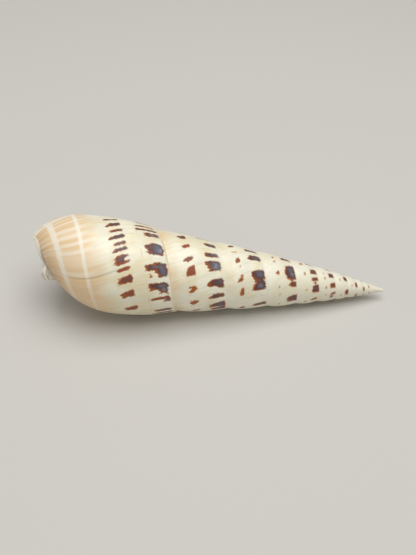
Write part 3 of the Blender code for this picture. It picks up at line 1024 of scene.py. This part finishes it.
def blotch_field(n, name, teeth, lumps):
    """How far outside one blotch a point is, how far past its front end and along it, and how grey it is."""
    across, along, taper = n.attribute(name + "_place")
    wide, long, grey = n.attribute(name + "_size")
    way = n.math("DIVIDE", along, n.plus(long, TINY))
    half = n.times(wide, n.scaled(n.times(way, taper), -1.0, 1.0))
    sides = n.minus(n.math("ABSOLUTE", across), half)
    sides = n.scaled(n.times(lumps, SIDE_LUMPS), n.height, sides)
    combed = n.times(teeth, n.ramp(way, -0.6, 0.5, *TEETH_SHARES))
    ends = n.scaled(combed, n.height, n.minus(n.math("ABSOLUTE", along), long))
    outside = n.math("SMOOTH_MAX", ends, sides, n.scaled(n.height, *CORNER_ROUNDING))
    front = n.scaled(combed, n.height, n.minus(along, long))
    return outside, front, way, grey


def joined_field(n, beside_strength):
    """The two nearest blotches as one shape, with the rest as in the one that the point is nearer to."""
    lumps = n.minus(n.pattern(*BLOTCH_LUMPS), 0.5)
    comb = n.minus(n.pattern(*BLOTCH_COMB), 0.5)
    teeth = n.scaled(comb, TEETH_DEPTH, n.times(lumps, LUMP_DEPTH))
    (outside, *rest), (other, *other_rest) = (
        blotch_field(n, name, teeth, lumps) for name in ("nearest", "beside")
    )
    other = n.plus(other, n.ramp(beside_strength, 0.0, 0.1, 1.0, 0.0))
    share = n.ramp(n.minus(outside, other), -HANDOVER, HANDOVER)
    joined = n.math("SMOOTH_MIN", outside, other, JOIN)
    return joined, *(n.between(share, a, b) for a, b in zip(rest, other_rest))


def blotch_colour(n, strength, beside_strength, ground):
    """Plum blotches with rust front ends, grey at heart and towards the suture, toothed along the growth."""
    outside, front, way, grey = joined_field(n, beside_strength)
    patchy = n.ramp(n.pattern(*BLOTCH_PATCHES), 0.35, 0.6)
    soft = n.times(patchy, grey, n.ramp(way, 0.4, -0.1))
    heart = n.times(n.ramp(outside, -HEART_DEPTH, -FIRM_EDGE, 1.0, 0.0), n.ramp(way, 0.75, -0.25), grey)
    mist = n.ramp(n.pattern(*MIST_PATCHES), 0.45, 0.62)
    colour = n.mix(n.ramp(grey, 0.0, 0.4), UMBER, PLUM)
    colour = n.mix(heart, colour, n.mix(mist, SLATE, MIST))
    colour = n.mix(rust_share(n, outside, front, patchy, soft, strength), colour, RUST)
    colour = n.mix(n.ramp(outside, -0.004, 0.01, 0.0, 0.5), colour, AMBER)
    edge = n.ramp(outside, n.scaled(soft, -SOFT_EDGE, -FIRM_EDGE), FADE_EDGE, 1.0, 0.0)
    return n.mix(n.times(edge, n.ramp(strength, 0.0, 0.6)), ground, colour)


def rust_share(n, outside, front, patchy, soft, strength):
    """Rust is thick at the front end, thin at the sides and thinner on the upper side as painted sheen of the
    light from above; weak blotches are rust.
    """
    thick = n.scaled(n.scaled(patchy, -RUST_PATCHES, -RUST_DEPTH), n.height, -RUST_LEAST)
    at_front = n.times(n.ramp(front, thick, -FIRM_EDGE), 0.9)
    at_sides = n.times(
        n.ramp(outside, n.scaled(n.height, -RIM_DEPTH, -RUST_LEAST), -0.003),
        n.scaled(patchy, -0.6, 0.85),
        n.scaled(soft, -0.8, 1.0),
    )
    # Painted sheen: less rust on the upper side of each whorl, the side that faces the light from above
    lit_top = n.window(n.math("FRACT", n.turn), *LIT_TOP_TURNS)
    rust = n.times(n.math("MAXIMUM", at_front, at_sides), n.scaled(lit_top, -0.4, 1.0))
    return n.math("MAXIMUM", rust, n.ramp(strength, 0.5, 0.95, 1.0, 0.0))


def edge_colour(n, edge, groove, ridge, colour):
    """The chalky ridge round the columella and the white free edge, with painted shade in the groove."""
    around, along, detail = RIDGE_WAVES
    lines = n.plane_noise(n.times(n.growth, around), n.times(ridge, along), detail)
    chalk = n.mix(n.ramp(lines, 0.36, 0.5), CHALK, WHITE)
    chalk = n.mix(n.ramp(lines, 0.36, 0.27, 0.0, 0.4), chalk, DARK_BROWN)
    colour = n.mix(edge, colour, chalk)
    # Painted shade in the groove, made patchy by noise clouds
    shade_patches = n.ramp(n.noise(n.position, *GROOVE_SHADE_CLOUDS), 0.3, 0.7, 0.55, 0.9)
    return n.mix(n.times(groove, shade_patches), colour, DARK_BROWN)


def bump(n):
    """Fine growth lines, faint spiral lines and a little wear, in real heights."""
    lines, threads = n.pattern(*LINE_BUMPS), n.pattern(*THREAD_BUMPS)
    grain = n.noise(n.position, *GRAIN)
    made = n.node("Bump")
    made.inputs["Strength"].default_value = 1.0
    made.inputs["Distance"].default_value = BUMP_HEIGHT
    height = n.scaled(threads, THREAD_HEIGHT, n.scaled(grain, GRAIN_HEIGHT, lines))
    n.link(height, made.inputs["Height"])
    return made.outputs[0]


# The photograph's view, fitted to the shell's sutures and outline. A pixel at the shell's tip is 0.415 mm.
IMAGE = (416, 555)
PIXEL = 0.000415
FOCAL_PIXELS = 710.0
TIP_PIXEL = (386.5, 290.4)  # where the axis, drawn on to a sharp point, would end
AXIS_AWAY = math.radians(9.6)  # how far the axis runs towards the camera at the front end
AXIS_ROLL = math.radians(4.74)
TIP_DEPTH = 180.0  # pixels from the tip back to the part of the shell that the focal length was set on
SENSOR = 36.0  # millimetres
CLIP_START = 0.01  # metres


def make_camera(lay):
    """The camera, first in its own axes, X right, Y down and Z away, then where the shell lies."""
    cos_away, sin_away = math.cos(AXIS_AWAY), math.sin(AXIS_AWAY)
    forward = Vector((-cos_away * math.cos(AXIS_ROLL), -cos_away * math.sin(AXIS_ROLL), -sin_away))
    facing = Vector((0.0, 0.0, -1.0))
    facing = (facing - forward * facing.dot(forward)).normalized()
    top = forward.cross(facing)
    from_shell = Matrix((-forward, -facing, top)).transposed()
    depth = FOCAL_PIXELS + TIP_DEPTH * sin_away
    offset = [(pixel - size / 2) * depth / FOCAL_PIXELS for pixel, size in zip(TIP_PIXEL, IMAGE)]
    tip = Vector((*offset, depth)) * PIXEL
    to_part = lay.to_3x3() @ from_shell.transposed()
    place_at = lay @ (from_shell.transposed() @ -tip)
    data = bpy.data.cameras.new("camera")
    data.sensor_width = SENSOR
    data.lens = SENSOR * FOCAL_PIXELS / max(IMAGE)
    data.clip_start = CLIP_START
    camera = add_object("camera", data)
    axes = to_part @ Matrix.Diagonal((1.0, -1.0, -1.0))
    camera.matrix_world = Matrix.Translation(place_at) @ axes.to_4x4()
    bpy.context.scene.camera = camera


# The room, in metres and watts
FLOOR_SIZE = 8.0
FLOOR_COLOUR = srgb(205, 202, 196)
FLOOR_ROUGHNESS = 0.9
LIGHTS = (  # each with its size, power and place
    ("softbox", 0.9, 8.6, (0.05, 0.0, 0.95)),
    ("fill", 1.2, 1.5, (-0.4, -0.9, 0.8)),
)
LIGHT_TARGET = Vector((0.0, 0.0, 0.01))
SKY_COLOUR, SKY_STRENGTH = (1.0, 0.99, 0.97, 1.0), 0.24


def make_light(name, size, power, at):
    data = bpy.data.lights.new(name, "AREA")
    data.size = size
    data.energy = power
    light = add_object(name, data)
    light.location = at
    light.rotation_euler = (Vector(at) - LIGHT_TARGET).to_track_quat("Z", "Y").to_euler()


def make_floor():
    data = bpy.data.meshes.new("floor")
    half = FLOOR_SIZE / 2
    corners = [(-half, -half, 0), (half, -half, 0), (half, half, 0), (-half, half, 0)]
    data.from_pydata(corners, [], [(0, 1, 2, 3)])
    n = Nodes("floor")
    n.shader.inputs["Base Color"].default_value = FLOOR_COLOUR
    n.shader.inputs["Roughness"].default_value = FLOOR_ROUGHNESS
    data.materials.append(n.material)
    floor = add_object("floor", data)


def make_room():
    """Plain soft light from above and a little behind, with a weak fill."""
    make_floor()
    for light in LIGHTS:
        make_light(*light)
    world = bpy.data.worlds.new("studio")
    world.use_nodes = True
    background = world.node_tree.nodes["Background"]
    background.inputs["Color"].default_value = SKY_COLOUR
    background.inputs["Strength"].default_value = SKY_STRENGTH
    bpy.context.scene.world = world
    bpy.context.scene.view_settings.view_transform = "Standard"


def main():
    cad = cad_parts["shell"]
    lay = shell_to_part(cad)
    shell = make_shell(lay, shell_material())
    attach(shell, "root")
    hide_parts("shell")
    make_camera(lay)
    make_room()


main()
